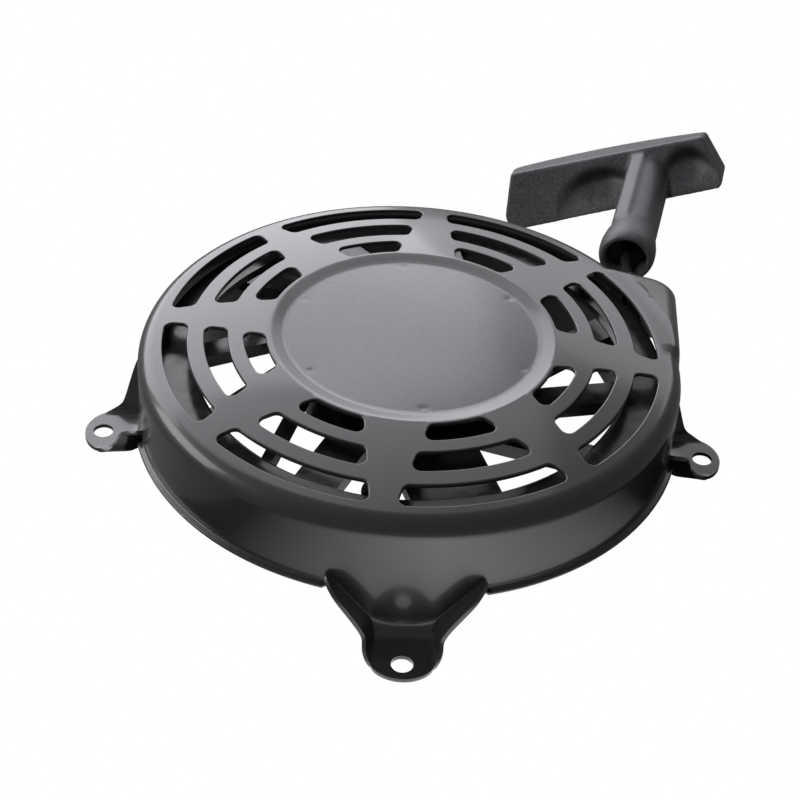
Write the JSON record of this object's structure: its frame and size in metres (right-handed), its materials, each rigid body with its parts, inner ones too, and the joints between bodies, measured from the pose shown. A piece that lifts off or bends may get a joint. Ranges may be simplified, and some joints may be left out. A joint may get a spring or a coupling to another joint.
{
  "type": "recoil starter",
  "caption": "Pull-rope rewind starter: slotted black steel cover on four feet, spoked rope pulley with rewind spring and drive pawls, offset pull grip.",
  "frame": {"origin": "on the pulley axis, in the plane of the undersides of the four feet", "axes": "+Z along the pulley axis from the feet to the centre pad, +Y the way the rope leaves the housing, +X to the side the rope leaves from"},
  "size_m": [0.2484, 0.2828, 0.0561],
  "materials": {
    "black_sheet": "semi-gloss black coat on pressed steel",
    "zinc_steel": "zinc plated",
    "bright_steel": "bright plated",
    "white_plastic": "natural nylon",
    "spring_steel": "blued, lightly oiled",
    "black_plastic": "moulded, glossy",
    "bronze": "sintered bronze",
    "rope_black": "braided cord",
    "grip_plastic": "fine moulded grain"
  },
  "bodies": {
    "housing_body": {"housing": "black_sheet", "center_plate": "zinc_steel", "center_post": "zinc_steel", "rope_guide": "bright_steel", "thrust_washer": "white_plastic", "retainer_screw": "zinc_steel", "screw_washer": "zinc_steel", "recoil_spring": "spring_steel"},
    "pulley_body": {"pulley": "black_plastic", "pulley_bushing": "bronze", "spring_keeper": "zinc_steel", "rope_winding": "rope_black", "rope_knot_pulley": "rope_black", "pawl_pin_1": "zinc_steel", "pawl_pin_2": "zinc_steel", "pawl_spring_1": "spring_steel", "pawl_spring_2": "spring_steel", "brake_spring": "spring_steel"},
    "retainer_body": {"pawl_retainer": "zinc_steel"},
    "pawl_1_body": {"pawl_1": "zinc_steel"},
    "pawl_2_body": {"pawl_2": "zinc_steel"},
    "grip_body": {"handle_grip": "grip_plastic", "handle_insert": "zinc_steel", "rope_knot_handle": "rope_black", "rope_lead": "rope_black"}
  },
  "joints": [
    {"name": "pulley_spin", "type": "hinge", "parent": "housing_body", "child": "pulley_body", "pos_m": [0, 0, 0.0372], "axis": [0, 0, 1], "range_deg": [0, 550], "stiffness_Nm_per_rad": 0.02, "springref_deg": -343.77, "deforming": ["recoil_spring"]},
    {"name": "grip_pull", "type": "slide", "parent": "housing_body", "child": "grip_body", "axis": [0.2284, 0.9736, 0], "range_m": [0, 0.801], "deforming": ["rope_lead"]},
    {"name": "retainer_turn", "type": "hinge", "parent": "pulley_body", "child": "retainer_body", "pos_m": [0, 0, 0.0128], "axis": [0, 0, 1], "range_deg": [0, 40]},
    {"name": "pawl_1_swing", "type": "hinge", "parent": "pulley_body", "child": "pawl_1_body", "pos_m": [0.018, 0, 0.017], "axis": [0, 0, 1], "range_deg": [-40.5, 0.5]},
    {"name": "pawl_2_swing", "type": "hinge", "parent": "pulley_body", "child": "pawl_2_body", "pos_m": [-0.018, 0, 0.017], "axis": [0, 0, 1], "range_deg": [-40.5, 0.5]}
  ],
  "couplings": [
    {"joint": "grip_pull", "follows": "pulley_spin", "m_per_rad": 0.083339},
    {"joint": "pawl_1_swing", "follows": "retainer_turn", "ratio": -1},
    {"joint": "pawl_2_swing", "follows": "retainer_turn", "ratio": -1}
  ]
}
